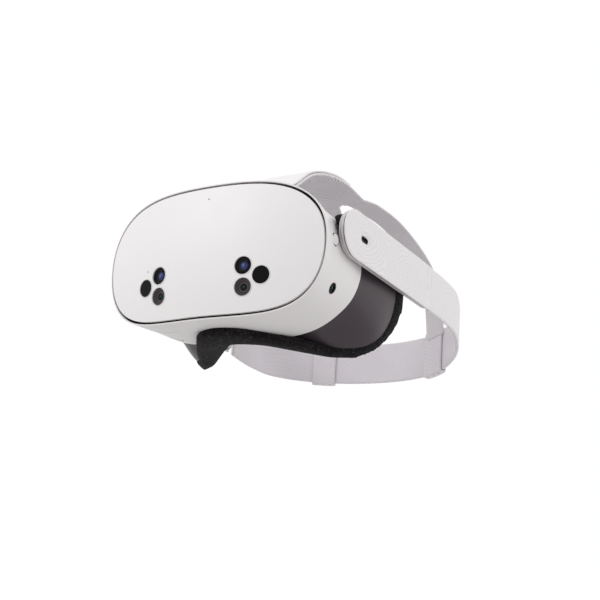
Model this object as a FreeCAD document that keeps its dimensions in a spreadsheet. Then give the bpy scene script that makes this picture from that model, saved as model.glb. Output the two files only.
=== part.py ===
import FreeCAD
import Part
import Sketcher
import math
import os

# Head-worn display: front housing, cameras, optics, face interface, side arms
# and fabric straps.  Millimetres, +X wearer's left, +Y towards the head, +Z up.
# Every piece is drawn with the fascia's front centre at zero and its Placement
# then brings the origin to the middle of the base of the whole object.

V = FreeCAD.Vector
doc = FreeCAD.newDocument("headset")

# ---------------------------------------------------------------- dimensions
DIMS = [
    ("originY", 151.75), ("originZ", -56.6),
    # fascia and housing
    ("fasciaHalfWidth", 92.6), ("fasciaTop", 48.2), ("fasciaBottom", 48.6),
    ("fasciaRadius", 245.0), ("fasciaCentreZ", 7.6), ("fasciaThick", 2.0),
    ("shellWall", 2.0), ("lipWall", 0.9), ("gasketDepth", 1.8),
    # front cameras
    ("cameraX", 36.5), ("cameraUpperZ", -15.2), ("cameraLowerZ", -30.5),
    ("irX", 50.0), ("irZ", -22.5), ("cameraHole", 7.1), ("ringOuter", 7.0),
    ("ringInner", 6.5), ("moduleRadius", 6.4), ("moduleDepth", 5.5),
    ("sideCameraRadius", 4.2), ("ledRadius", 0.6), ("ledX", -48.2), ("ledZ", -10.4),
    ("sensorX", 3.0), ("sensorZ", 38.9),
    # electronics
    ("boardWidth", 108.0), ("boardHeight", 60.0), ("boardThick", 1.2), ("boardY", 15.0),
    ("sinkThick", 4.0), ("finCount", 13), ("batteryWidth", 92.0),
    ("batteryThick", 5.5), ("batteryHeight", 56.0), ("fanRadius", 21.0),
    ("fanZ", 14.0), ("fanY", 4.2), ("fanDepth", 9.6), ("fanWall", 1.2),
    ("bladeCount", 9), ("shaftRadius", 1.5), ("runningFit", 0.06),
    # chassis and optics
    ("chassisY", 27.0), ("chassisThick", 2.4), ("postEndY", 60.0),
    ("lensX", 31.5), ("ipdTravel", 2.5), ("cupOuter", 22.6), ("cupInner", 20.6),
    ("cupFrontY", 32.0), ("cupRearY", 66.0), ("lensRadius", 20.5), ("lensThick", 7.0),
    ("lensCurve", 52.0), ("panelSize", 28.0), ("panelThick", 1.6), ("railRadius", 1.5),
    ("railZ", 30.0), ("railFrontY", 38.0), ("railRearY", 54.0), ("wheelRadius", 5.0),
    ("wheelY", 43.0), ("wheelThick", 4.0), ("bezelThick", 1.6),
    # buttons
    ("buttonFit", 0.2), ("powerY", 36.6), ("powerZ", 9.0), ("powerRadius", 4.6),
    ("actionX", -53.0), ("actionY", 55.0), ("actionRadius", 5.3),
    ("rockerX", -46.5), ("rockerY", 29.5), ("rockerLength", 25.0), ("rockerWidth", 4.6),
    # face interface
    ("interfaceFrontY", 66.0), ("interfaceWall", 2.2), ("foamDepth", 13.5),
    ("foamWidth", 13.0), ("faceRadius", 104.2), ("faceGap", 0.3),
    # arms
    ("pivotY", 59.0), ("pivotZ", 20.5), ("armHalfHeight", 18.5), ("armEndY", 190.0),
    ("armInnerX", 90.4), ("baseThick", 1.8), ("housingThick", 2.6), ("coverThick", 1.3),
    ("pivotRadius", 5.0), ("rightDroop", 10.0), ("portY", 72.0),
    ("portWidth", 8.94), ("portHeight", 3.26), ("portWall", 0.35),
    # straps
    ("strapWidth", 37.0), ("strapThick", 3.0), ("topHalfWidth", 22.0),
    ("webThick", 2.4), ("loopX", 57.0), ("loopWidth", 20.0), ("loopWall", 1.6),
]
sheet = doc.addObject("Spreadsheet::Sheet", "Dimensions")
for row, (alias, value) in enumerate(DIMS, start=1):
    sheet.set("A%d" % row, alias)
    sheet.set("B%d" % row, str(value))
    sheet.setAlias("B%d" % row, alias)
doc.recompute()


def val(alias):
    return float(sheet.get(alias))


ORIGIN = V(0, -val("originY"), -val("originZ"))
NODES = []


# ------------------------------------------------------------------- helpers
def place(obj, base=None, rotation=None):
    """Placement in the object's frame, shifted to the common origin."""
    base = base or V(0, 0, 0)
    obj.Placement = FreeCAD.Placement(ORIGIN + base, rotation or FreeCAD.Rotation())


def keep(obj, label):
    obj.Label = label
    NODES.append(obj)
    return obj


def feature(label, shape):
    """A freely shaped piece whose sizes were read from the sheet."""
    obj = doc.addObject("Part::Feature", label)
    obj.Shape = shape
    place(obj)
    return keep(obj, label)


def bind(obj, **expressions):
    for prop, expression in expressions.items():
        obj.setExpression(prop, expression)


def sheet_box(name, x, y, z, length, width, height):
    """Part::Box bound to the sheet; x, y, z are its low corner."""
    obj = doc.addObject("Part::Box", name)
    bind(obj, Length=length, Width=width, Height=height)
    place(obj, V(x, y, z))
    return obj


def sheet_cylinder(name, centre, axis, radius, height):
    """Part::Cylinder bound to the sheet, from centre along axis."""
    obj = doc.addObject("Part::Cylinder", name)
    bind(obj, Radius=radius, Height=height)
    place(obj, centre, FreeCAD.Rotation(V(0, 0, 1), axis))
    return obj


def boolean(kind, name, base, tool):
    obj = doc.addObject("Part::" + kind, name)
    obj.Base = base
    obj.Tool = tool
    return obj


def cyl(radius, height, centre, axis):
    return Part.makeCylinder(radius, height, centre, axis)


def box(x0, x1, y0, y1, z0, z1):
    return Part.makeBox(x1 - x0, y1 - y0, z1 - z0, V(x0, y0, z0))


def union(shapes):
    return shapes[0].fuse(shapes[1:]) if len(shapes) > 1 else shapes[0]


def mirrored(shape):
    return shape.mirror(V(0, 0, 0), V(1, 0, 0))


def outline(y, half_w, top, bottom, n_top=3.88, n_bottom=4.47, m_top=2.30, m_bottom=2.05):
    """Closed superellipse in the plane y; separate exponents above and below."""
    points = []
    steps = 48
    for i in range(steps):
        a = 2 * math.pi * i / steps
        n = n_top if math.sin(a) >= 0 else n_bottom
        m = m_top if math.sin(a) >= 0 else m_bottom
        high = top if math.sin(a) >= 0 else bottom
        x = math.copysign(abs(math.cos(a)) ** (2 / n), math.cos(a)) * half_w
        z = math.copysign(abs(math.sin(a)) ** (2 / m), math.sin(a)) * high
        points.append(V(x, y, z))
    curve = Part.BSplineCurve()
    curve.interpolate(points, PeriodicFlag=True)
    return Part.Wire([curve.toShape()])


def tube_loft(sections, inset=0.0):
    wires = []
    for y, half_w, top, bottom, *powers in sections:
        wires.append(outline(y, half_w - inset, top - inset, bottom - inset, *powers))
    return Part.makeLoft(wires, True, False)


def spline_face(points, closing, plane_normal, depth):
    """Extruded face bounded by a spline through points and a polyline."""
    curve = Part.BSplineCurve()
    curve.interpolate(points)
    edges = [curve.toShape()]
    corners = [points[-1]] + closing + [points[0]]
    for a, b in zip(corners[:-1], corners[1:]):
        edges.append(Part.LineSegment(a, b).toShape())
    return Part.Face(Part.Wire(edges)).extrude(plane_normal * depth)


# ------------------------------------------------- common shapes of the front
RADIUS = val("fasciaRadius")
CENTRE = V(0, RADIUS - 0.1, val("fasciaCentreZ"))


def ball(offset=0.0):
    """Sphere that gives the fascia its bulge, offset inwards."""
    return Part.makeSphere(RADIUS - offset, CENTRE)


def front_point(x, z, depth=0.0):
    """Point on the fascia's front at x, z and the outward direction there."""
    z_rel = z - CENTRE.z
    y = CENTRE.y - math.sqrt(RADIUS ** 2 - x * x - z_rel ** 2)
    inward = (CENTRE - V(x, y, z)).normalize()
    return V(x, y, z) + inward * depth, inward


# sections of the housing: y, half width, top, bottom
SHELL = [(-9, 94.0, 50.3, 50.7), (18, 94.9, 50.9, 51.1), (29, 92.7, 50.7, 50.9),
         (40, 90.3, 50.4, 50.7), (50, 89.7, 50.1, 50.4), (68, 89.1, 49.2, 49.8),
         (95, 88.4, 47.6, 48.2)]
shell_outer = tube_loft(SHELL)
shell_lip = tube_loft(SHELL, val("lipWall"))
shell_inner = tube_loft(SHELL, val("shellWall"))

# rear edge of the housing in side view: y, z
REAR_EDGE = [(70, 60), (71, 50), (73, 44), (78, 30), (82, 15), (84, 0), (82, -11),
             (78, -24), (74, -32), (71, -40), (70, -50), (70, -62)]
rear_cut = spline_face([V(-110, y, z) for y, z in REAR_EDGE],
                       [V(-110, 150, -62), V(-110, 150, 60)], V(1, 0, 0), 220)

# nose arch in plan: half width at each y, for the height of the housing's base
NOSE = [(0, 28.5), (7, 29.2), (12, 30.8), (16.5, 33.2), (20.5, 37.5), (26, 46.0),
        (32, 56.0), (39, 67.5), (46, 80.0), (58, 104.0)]
# the narrower arch of the face interface, and the one inside its foam
NOSE_FACE = [(0, 45.5), (7, 46.0), (13, 47.4), (19, 50.3), (24, 55.0), (29, 62.5), (36, 74.0),
             (43, 86.0), (51, 98.5), (59, 111.0), (66, 122.0)]
NOSE_PAD = [(0, 52.5), (5, 52.9), (9, 53.8), (13, 55.5), (17, 58.5), (21, 63.5), (28, 75.0),
            (35, 86.5), (43, 99.0), (51, 111.0), (58, 122.0)]


def nose_wire(profile, z, scale, offset):
    """Bell-shaped wire; offset moves it inwards, towards the nose."""
    right = []
    for x, y in profile:
        turn = min(x / 12.0, 1.0)
        right.append(V(x * scale - 0.8 * offset * turn, y + offset * (1.0 - 0.65 * turn), z))
    left = [V(-p.x, p.y, p.z) for p in right[:0:-1]]
    points = left + right
    curve = Part.BSplineCurve()
    curve.interpolate(points)
    closing = Part.LineSegment(points[-1], points[0]).toShape()
    return Part.Wire([curve.toShape(), closing])


def nose_form(profile, offset, z_low=-70.0, z_high=-16.0):
    """Space for the nose, narrower upwards."""
    wires = [nose_wire(profile, z, 1.0 - (z + 48.0) * 0.01875, offset) for z in (z_low, z_high)]
    return Part.makeLoft(wires, True, True)


nose_cut = nose_form(NOSE, 0.0)

# the head: circles of one radius whose centre moves forward below the eyes
FACE = [(-80, 190.0), (-60, 194.5), (-50, 198.0), (-40, 204.0), (-30, 208.5),
        (-15, 210.8), (0, 211.2), (25, 211.2), (60, 213.0), (85, 215.0)]


def face_form(shift):
    wires = []
    for z, centre_y in FACE:
        circle = Part.Circle(V(0, centre_y + shift, z), V(0, 0, 1), val("faceRadius"))
        wires.append(Part.Wire([circle.toShape()]))
    return Part.makeLoft(wires, True, False)


# ------------------------------------------------------------ front of housing
def camera_sites():
    """x, z of the six openings, the wearer's left half first."""
    sites = []
    for side in (1, -1):
        sites.append(("passthrough", side, side * val("cameraX"), val("cameraUpperZ")))
        sites.append(("tracking", side, side * val("cameraX"), val("cameraLowerZ")))
        sites.append(("infrared", side, side * val("irX"), val("irZ")))
    return sites


fascia_prism = Part.Face(outline(-10, val("fasciaHalfWidth"), val("fasciaTop"),
                                 val("fasciaBottom"))).extrude(V(0, 50, 0))
fascia = fascia_prism.common(ball()).cut(ball(val("fasciaThick")))
for _, _, x, z in camera_sites():
    point, inward = front_point(x, z, -5)
    fascia = fascia.cut(cyl(val("cameraHole"), 12, point, inward))
led_x, led_z = val("ledX"), val("ledZ")
point, inward = front_point(led_x, led_z, -3)
fascia = fascia.cut(cyl(val("ledRadius") + 0.05, 9, point, inward))
point, inward = front_point(val("sensorX"), val("sensorZ"), -3)
fascia = fascia.cut(cyl(val("ledRadius") + 0.05, 9, point, inward))
feature("front_fascia", fascia)

gasket_outer = Part.Face(outline(-10, val("fasciaHalfWidth") + 0.9, val("fasciaTop") + 1.3,
                                 val("fasciaBottom") + 1.1)).extrude(V(0, 50, 0))
gasket_inner = Part.Face(outline(-10, val("fasciaHalfWidth") - 2.6, val("fasciaTop") - 2.6,
                                 val("fasciaBottom") - 2.6)).extrude(V(0, 50, 0))
gasket = gasket_outer.cut(gasket_inner).common(ball(val("fasciaThick") + 0.1))
gasket = gasket.cut(ball(val("fasciaThick") + 0.1 + val("gasketDepth"))).common(shell_lip)
feature("gap_gasket", gasket)

rings = []
for kind, side, x, z in camera_sites():
    start, inward = front_point(x, z, -0.15)
    ring = cyl(val("ringOuter"), 2.1, start, inward)
    rings.append(ring.cut(cyl(val("ringInner"), 2.1, start, inward)))
feature("camera_rings", Part.makeCompound(rings))

SIDE_NAME = {1: "left", -1: "right"}
for kind, side, x, z in camera_sites():
    face_depth = 0.5 if kind == "infrared" else 0.9
    start, inward = front_point(x, z, face_depth)
    barrel = cyl(val("moduleRadius"), val("moduleDepth") - face_depth, start, inward)
    if kind == "tracking":
        for radius, depth in ((5.4, 0.5), (4.2, 1.0), (3.0, 1.5)):
            barrel = barrel.cut(cyl(radius, depth, start, inward))
        lens_centre = start + inward * 3.4
        lens = Part.makeSphere(2.4, lens_centre)
        barrel = barrel.fuse(lens.common(cyl(2.2, 6, start, inward)))
    if kind == "passthrough":
        cone = Part.makeCone(5.0, 3.4, 1.2, start, inward)
        barrel = barrel.cut(cone)
        lens = Part.makeSphere(4.6, start + inward * 4.9)
        barrel = barrel.fuse(lens.common(cyl(3.3, 3, start, inward)))
    feature("%s_%s_%s" % (kind, "window" if kind == "infrared" else "camera",
                          SIDE_NAME[side]), barrel)

start, inward = front_point(led_x, led_z, 0.1)
feature("status_led", cyl(val("ledRadius"), 3.0, start, inward))
start, inward = front_point(val("sensorX"), val("sensorZ"), 0.1)
feature("light_sensor", cyl(val("ledRadius"), 3.0, start, inward))

# ------------------------------------------------------------------- housing
SIDE_CAMERA = V(85.2, 47.3, -23.5)
SIDE_CAMERA_AXIS = V(0.913, 0.05, -0.40).normalize()
POWER_LED = V(87.9, 34.0, 21.6)
MIC_SITES = [(50.0, 30.0), (35.0, 52.0), (-20.0, 24.0)]
pivot_y, pivot_z = val("pivotY"), val("pivotZ")

shell = shell_outer.common(ball()).cut(shell_lip.common(box(-120, 120, -20, 24, -70, 70)))
shell = shell.cut(shell_inner).cut(rear_cut).cut(nose_cut)
for side in (1, -1):
    hole = cyl(val("pivotRadius") + val("runningFit"), 20, V(80, pivot_y, pivot_z), V(1, 0, 0))
    lens_hole = cyl(val("sideCameraRadius") + 0.15, 16, SIDE_CAMERA - SIDE_CAMERA_AXIS * 8,
                    SIDE_CAMERA_AXIS)
    for cutter in (hole, lens_hole):
        shell = shell.cut(cutter if side == 1 else mirrored(cutter))
shell = shell.cut(cyl(val("powerRadius") + val("buttonFit"), 20,
                      V(80, val("powerY"), val("powerZ")), V(1, 0, 0)))
shell = shell.cut(cyl(val("actionRadius") + val("buttonFit"), 20,
                      V(val("actionX"), val("actionY"), -60), V(0, 0, 1)))


def slot_prism(centre, length, width, depth):
    """Round-ended bar along X with its depth along +Z."""
    half = (length - width) / 2
    bar = box(centre.x - half, centre.x + half, centre.y - width / 2,
              centre.y + width / 2, centre.z, centre.z + depth)
    ends = [cyl(width / 2, depth, V(centre.x + s * half, centre.y, centre.z), V(0, 0, 1))
            for s in (1, -1)]
    return union([bar] + ends).removeSplitter()


shell = shell.cut(slot_prism(V(val("rockerX"), val("rockerY"), -60),
                             val("rockerLength") + 2 * val("buttonFit"),
                             val("rockerWidth") + 2 * val("buttonFit"), 20))
for x, y in MIC_SITES:
    shell = shell.cut(cyl(0.5, 15, V(x, y, -58), V(0, 0, 1)))
shell = shell.cut(cyl(0.55, 16, POWER_LED - V(8, 0, 0), V(1, 0, 0)))
feature("main_shell", shell)
feature("power_led", cyl(0.5, 4.5, POWER_LED - V(4.8, 0, 0), V(1, 0, 0)))

mics = [cyl(1.6, 1.6, V(x, y, -46.8), V(0, 0, 1)) for x, y in MIC_SITES]
feature("microphones", Part.makeCompound(mics))

module = cyl(val("sideCameraRadius"), 7.0, SIDE_CAMERA - SIDE_CAMERA_AXIS * 7.2,
             SIDE_CAMERA_AXIS)
module = module.cut(cyl(3.2, 0.8, SIDE_CAMERA - SIDE_CAMERA_AXIS * 1.0, SIDE_CAMERA_AXIS))
module = module.fuse(Part.makeSphere(2.6, SIDE_CAMERA - SIDE_CAMERA_AXIS * 3.0)
                     .common(cyl(2.2, 4, SIDE_CAMERA - SIDE_CAMERA_AXIS * 3.5,
                                 SIDE_CAMERA_AXIS)))
feature("side_camera_left", module)
feature("side_camera_right", mirrored(module))

# ------------------------------------------------------------------- buttons
button = sheet_cylinder("power_button_blank", V(85.5, val("powerY"), val("powerZ")), V(1, 0, 0),
                        "Dimensions.powerRadius", "5.8 mm")
dish = doc.addObject("Part::Sphere", "power_button_dish")
dish.Radius = 26
place(dish, V(90.9 + 26, val("powerY"), val("powerZ")))
keep(boolean("Cut", "power_button_body", button, dish), "power_button")

action = cyl(val("actionRadius"), 5.0, V(val("actionX"), val("actionY"), -49.5), V(0, 0, 1))
action = action.common(tube_loft(SHELL, 0.1))
feature("action_button", action)

rocker = slot_prism(V(val("rockerX"), val("rockerY"), -53), val("rockerLength"),
                    val("rockerWidth"), 8.5).common(tube_loft(SHELL, 0.1))
rocker = rocker.cut(cyl(0.45, 10, V(val("rockerX"), val("rockerY") - 5, -48.5), V(0, 1, 0)))
feature("volume_rocker", rocker)

# --------------------------------------------------------------- electronics
board_x, board_y = -val("boardWidth") / 2, val("boardY")
board = sheet_box("main_board_blank", board_x, board_y, -26, "Dimensions.boardWidth",
                  "Dimensions.boardThick", "Dimensions.boardHeight")
chips = [sheet_box("chip_%d" % i, x, board_y - depth, z, "%g mm" % w, "%g mm" % depth,
                   "%g mm" % tall)
         for i, (x, z, w, depth, tall) in enumerate([(-34, -20, 16, 1.0, 16),
                                                     (-12, -20, 11, 0.9, 14),
                                                     (3, -20, 11, 0.9, 14)])]
fused = doc.addObject("Part::MultiFuse", "main_board_body")
fused.Shapes = [board] + chips
keep(fused, "main_board")

sink_y = board_y + val("boardThick") + 0.2
base = sheet_box("sink_base", -38, sink_y, -22, "76 mm", "1.2 mm", "52 mm")
fins = []
fin_count = int(val("finCount"))
for i in range(fin_count):
    fins.append(sheet_box("sink_fin_%d" % i, -38 + i * 75.0 / (fin_count - 1), sink_y + 1.1, -22,
                          "1 mm", "Dimensions.sinkThick - 1.1", "52 mm"))
sink = doc.addObject("Part::MultiFuse", "heat_sink_body")
sink.Shapes = [base] + fins
keep(sink, "heat_sink")

battery = doc.addObject("Part::Box", "battery_blank")
bind(battery, Length="Dimensions.batteryWidth", Width="Dimensions.batteryThick",
     Height="Dimensions.batteryHeight")
place(battery, V(-val("batteryWidth") / 2, 21.0, -18))
cell = doc.addObject("Part::Fillet", "battery_body")
cell.Base = battery
cell.Edges = [(i + 1, 1.2, 1.2) for i in range(12)]
keep(cell, "battery_pack")


def sketch_body(name, plane, draw, pad_length, offset):
    """PartDesign body: one sketch on an origin plane, padded along its normal."""
    body = doc.addObject("PartDesign::Body", name)
    origin_plane = [f for f in body.Origin.OriginFeatures if f.Role == plane][0]
    sketch = body.newObject("Sketcher::SketchObject", name + "_sketch")
    sketch.AttachmentSupport = [(origin_plane, "")]
    sketch.MapMode = "FlatFace"
    draw(sketch)
    pad = body.newObject("PartDesign::Pad", name + "_pad")
    pad.Profile = sketch
    pad.setExpression("Length", pad_length)
    place(body, offset)
    doc.recompute()
    return body, sketch, pad


def pocket(body, name, plane, draw, depth_expression, offset=0.0):
    """Cut a sketched profile through the body, along the plane's normal."""
    origin_plane = [f for f in body.Origin.OriginFeatures if f.Role == plane][0]
    before = body.Shape.Volume
    sketch = body.newObject("Sketcher::SketchObject", name + "_sketch")
    sketch.AttachmentSupport = [(origin_plane, "")]
    sketch.MapMode = "FlatFace"
    sketch.AttachmentOffset = FreeCAD.Placement(V(0, 0, offset), FreeCAD.Rotation())
    draw(sketch)
    cut = body.newObject("PartDesign::Pocket", name)
    cut.Profile = sketch
    cut.setExpression("Length", depth_expression)
    cut.Reversed = True
    doc.recompute()
    if body.Shape.Volume >= before - 1e-6:
        cut.Reversed = False
        doc.recompute()
    if body.Shape.Volume >= before - 1e-6:
        raise RuntimeError(name + " cuts nothing")
    return cut


def circle_sketch(*circles):
    def draw(sketch):
        for x, y, radius_expression in circles:
            index = sketch.addGeometry(Part.Circle(V(x, y, 0), V(0, 0, 1), 1.0))
            number = sketch.addConstraint(constraint("Radius", index, 1.0))
            sketch.setExpression("Constraints[%d]" % number, radius_expression)
    return draw




def constraint(*args):
    return Sketcher.Constraint(*args)


# fan: an open-fronted cup with a shaft, and a bladed rotor on the shaft
fan_y, fan_z, fan_r = val("fanY"), val("fanZ"), val("fanRadius")
Y = V(0, 1, 0)
fan_cup = cyl(fan_r, val("fanDepth"), V(0, fan_y, fan_z), Y)
fan_cup = fan_cup.cut(cyl(fan_r - val("fanWall"), val("fanDepth") - val("fanWall"),
                          V(0, fan_y, fan_z), Y))
fan_cup = fan_cup.cut(box(-fan_r, fan_r, fan_y + 1.0, fan_y + 7.4, fan_z + 15, fan_z + 30))
fan_cup = fan_cup.fuse(cyl(val("shaftRadius"), 8.0, V(0, fan_y + 1.0, fan_z), Y))
feature("fan_housing", fan_cup)

rotor = cyl(7.0, 6.4, V(0, fan_y + 1.2, fan_z), Y)
blade = box(6.5, fan_r - val("fanWall") - 1.0, fan_y + 1.2, fan_y + 7.2, -0.4, 0.4)
blade.rotate(V(6.5, 0, 0), Y, 24)
blades = []
for i in range(int(val("bladeCount"))):
    turned = blade.copy()
    turned.translate(V(0, 0, fan_z))
    turned.rotate(V(0, 0, fan_z), Y, i * 360.0 / val("bladeCount"))
    blades.append(turned)
rotor = union([rotor] + blades)
rotor = rotor.cut(cyl(val("shaftRadius") + val("runningFit"), 20, V(0, fan_y - 5, fan_z), Y))
feature("fan_rotor", rotor)

# ------------------------------------------------------------------- chassis
chassis_y, chassis_rear = val("chassisY"), val("chassisY") + val("chassisThick")
POSTS = [(70, 20), (-70, 20), (66, -24), (-66, -24)]
plate = Part.Face(outline(chassis_y, 86.0, 43.0, 41.5)).extrude(V(0, val("chassisThick"), 0))
plate = plate.cut(box(-26, 26, 20, 32, -44, -24))
for side in (1, -1):
    plate = plate.cut(box(side * 31.5 - 9, side * 31.5 + 9, 20, 32, -12, 12))
solids = [plate]
for x, z in POSTS:
    solids.append(cyl(3.0, val("postEndY") - chassis_rear + 0.2, V(x, chassis_rear - 0.2, z), Y))
for side in (1, -1):
    low, high = sorted((side * 62.0, side * 66.0))
    solids.append(box(low, high, chassis_rear - 0.2, val("postEndY"), 26, 34))
chassis = union(solids)
for x, z in POSTS:
    chassis = chassis.cut(cyl(1.05, 10, V(x, val("postEndY") - 8, z), Y))
for y in (val("railFrontY"), val("railRearY")):
    chassis = chassis.cut(cyl(val("railRadius") + 0.02, 140, V(-70, y, val("railZ")), V(1, 0, 0)))
chassis = chassis.cut(cyl(1.52, 10, V(0, chassis_y - 2, val("railZ")), Y))
feature("chassis", chassis)

rail_group = doc.addObject("Part::Compound", "lens_rails_body")
rail_group.Links = [sheet_cylinder("rail_%d" % i, V(-66, y, val("railZ")), V(1, 0, 0),
                                   "Dimensions.railRadius", "132 mm")
                    for i, y in enumerate((val("railFrontY"), val("railRearY")))]
keep(rail_group, "lens_rails")

keep(sheet_cylinder("wheel_pin", V(0, chassis_y + 0.2, val("railZ")), Y,
                    "Dimensions.shaftRadius", "21.5 mm"), "sync_wheel_pin")

wheel, _, _ = sketch_body("sync_wheel", "XZ_Plane",
                          circle_sketch((0, 0, "Dimensions.wheelRadius - 0.03"),
                                        (0, 0, "Dimensions.shaftRadius + Dimensions.runningFit")),
                          "Dimensions.wheelThick", V(0, val("wheelY"), val("railZ")))
wheel_low = wheel.Shape.BoundBox.YMin - (val("wheelY") - val("originY"))
place(wheel, V(0, val("wheelY") - wheel_low, val("railZ")))
keep(wheel, "sync_wheel")


def lens_cup(side):
    """Tube that carries panel and lens, its rail block and synchroniser bar."""
    x0 = side * val("lensX")
    front, rear = val("cupFrontY"), val("cupRearY")
    tube = cyl(val("cupOuter"), rear - front, V(x0, front, 0), Y)
    block_top = 34.5 if side == 1 else 37.1
    block = box(x0 - 8.5, x0 + 8.5, 34.0, 59.6, 17.0, block_top)
    wheel_r, rail_z = val("wheelRadius"), val("railZ")
    y0, y1 = val("wheelY"), val("wheelY") + val("wheelThick")
    if side == 1:
        bar = box(-6, x0 - 8, y0, y1, rail_z - wheel_r - 2.05, rail_z - wheel_r - 0.05)
    else:
        bar = box(x0 + 8, 6, y0, y1, rail_z + wheel_r + 0.05, rail_z + wheel_r + 2.05)
    cup = union([tube, block, bar])
    cup = cup.cut(cyl(val("cupInner"), rear - front, V(x0, front + 1.4, 0), Y))
    for y in (val("railFrontY"), val("railRearY")):
        cup = cup.cut(cyl(val("railRadius") + val("runningFit"), 60,
                          V(x0 - 30, y, rail_z), V(1, 0, 0)))
    return cup


def lens_solid(side):
    """Plano-convex lens, flat towards the panel, bulged towards the eye."""
    x0 = side * val("lensX")
    rear = val("cupRearY") - 1.0
    disc = cyl(val("lensRadius"), val("lensThick"), V(x0, rear - val("lensThick"), 0), Y)
    return disc.common(Part.makeSphere(val("lensCurve"), V(x0, rear - val("lensCurve"), 0)))


for side in (1, -1):
    name = SIDE_NAME[side]
    feature("lens_cup_" + name, lens_cup(side))
    feature("lens_" + name, lens_solid(side))
    half = val("panelSize") / 2
    panel = sheet_box("panel_" + name, side * val("lensX") - half, val("cupFrontY") + 1.4, -half,
                      "Dimensions.panelSize", "Dimensions.panelThick", "Dimensions.panelSize")
    keep(panel, "display_panel_" + name)

bezel_y = val("postEndY")
bezel = Part.Face(outline(bezel_y, 76.5, 46.2, 46.2)).extrude(V(0, val("bezelThick"), 0))
for side in (1, -1):
    x0 = side * val("lensX")
    for shift in (-val("ipdTravel"), val("ipdTravel")):
        bezel = bezel.cut(cyl(val("cupOuter") + 0.5, 8, V(x0 + shift, bezel_y - 3, 0), Y))
    reach = val("ipdTravel")
    tall = val("cupOuter") + 0.5
    bezel = bezel.cut(box(x0 - reach, x0 + reach, bezel_y - 3, bezel_y + 5, -tall, tall))
bezel = bezel.cut(nose_form(NOSE, -0.5, -70.0, -15.5))
for x, z in POSTS:
    bezel = bezel.cut(cyl(1.05, 8, V(x, bezel_y - 3, z), Y))
feature("optics_bezel", bezel)

screws = []
for x, z in POSTS:
    head = cyl(1.9, 1.2, V(x, bezel_y + val("bezelThick"), z), Y)
    shank = cyl(1.0, 7.0, V(x, bezel_y + val("bezelThick") - 6.9, z), Y)
    slot = box(x - 2, x + 2, bezel_y + val("bezelThick") + 0.8, bezel_y + 5, z - 0.25, z + 0.25)
    screws.append(head.fuse(shank).cut(slot))
feature("bezel_screws", Part.makeCompound(screws))

# ------------------------------------------------------------ face interface
front_y = val("interfaceFrontY")
INTERFACE = [(front_y, 85.4, 45.6, 46.2, 3.88, 4.47), (74, 85.2, 45.6, 46.4, 3.9, 4.6),
             (86, 85.6, 47.0, 50.0, 4.0, 5.0), (106, 87.4, 49.0, 56.5, 4.2, 6.0, 2.3, 2.4),
             (130, 88.8, 49.5, 58.0, 4.2, 6.0, 2.3, 2.4),
             (170, 89.3, 49.5, 58.0, 4.2, 6.0, 2.3, 2.4)]
interface_outer = tube_loft(INTERFACE)
interface_inner = tube_loft([(y - 1 if y == front_y else y + (1 if y == 170 else 0),) + tuple(rest)
                             for y, *rest in INTERFACE], val("interfaceWall"))
fit = val("faceGap")
nose_space = nose_form(NOSE_FACE, 2.0, -75.0, -18.0)
floor = nose_form(NOSE, 5 * fit, -50.6, -16.0).common(box(-60, 60, 30, 80, -50.6, -48.2))
bridge = nose_form(NOSE_FACE, 0.0, -50.6, -16.0)
hollow = interface_inner.cut(nose_form(NOSE_FACE, 0.0, -75.0, -16.0))
interface = interface_outer.cut(hollow)
interface = interface.fuse([floor, bridge]).cut(nose_space)
interface = interface.cut(face_form(-val("foamDepth"))).cut(shell)
interface = max(interface.Solids, key=lambda item: item.Volume)
feature("face_interface", interface)

foam_outer = tube_loft([(y, w + 0.6, top + 1.4, bottom + 1.4, *powers)
                        for y, w, top, bottom, *powers in INTERFACE])
foam_inner = tube_loft([(y - 1 if y == front_y else y + (1 if y == 170 else 0),
                         w - val("foamWidth"), top - val("foamWidth"),
                         bottom - val("foamWidth"), *powers)
                        for y, w, top, bottom, *powers in INTERFACE])
foam = foam_outer.cut(foam_inner.cut(nose_form(NOSE_FACE, -9.0, -75.0, -22.0)))
foam = foam.common(face_form(fit - val("foamDepth")))
interface_skin = tube_loft([(y, w + 0.3, top + 0.3, bottom + 0.3, *powers)
                            for y, w, top, bottom, *powers in INTERFACE])
skirt = nose_form(NOSE, 1.0, -56.4, -50.8).cut(interface_skin)
lining = nose_form(NOSE_FACE, 2.3, -56.4, -24.0)
foam = foam.fuse([lining, skirt]).cut(nose_form(NOSE_PAD, 0.0, -75.0, -20.0))
foam = foam.cut(face_form(0.0)).cut(interface).cut(shell)
feature("face_foam", max(foam.Solids, key=lambda item: item.Volume))

# ---------------------------------------------------------------------- arms
# arm outline in side view: half circle round the pivot, straight to the end
def arm_sketch(inset):
    def draw(sketch):
        r = val("armHalfHeight") - inset
        end = val("armEndY") - val("pivotY") - inset
        c = 5.0
        arc = Part.Arc(V(0, r, 0), V(-r, 0, 0), V(0, -r, 0))
        upper = Part.Arc(V(end, r - c, 0), V(end - c * 0.2929, r - c * 0.2929, 0), V(end - c, r, 0))
        lower = Part.Arc(V(end - c, -r, 0), V(end - c * 0.2929, -r + c * 0.2929, 0),
                         V(end, -r + c, 0))
        sketch.addGeometry([arc, Part.LineSegment(V(0, -r, 0), V(end - c, -r, 0)), lower,
                            Part.LineSegment(V(end, -r + c, 0), V(end, r - c, 0)), upper,
                            Part.LineSegment(V(end - c, r, 0), V(0, r, 0))])
    return draw


def rect_sketch(y0, y1, z0, z1):
    def draw(sketch):
        corners = [V(y0, z0, 0), V(y1, z0, 0), V(y1, z1, 0), V(y0, z1, 0)]
        for a, b in zip(corners, corners[1:] + corners[:1]):
            sketch.addGeometry(Part.LineSegment(a, b))
    return draw


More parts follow.
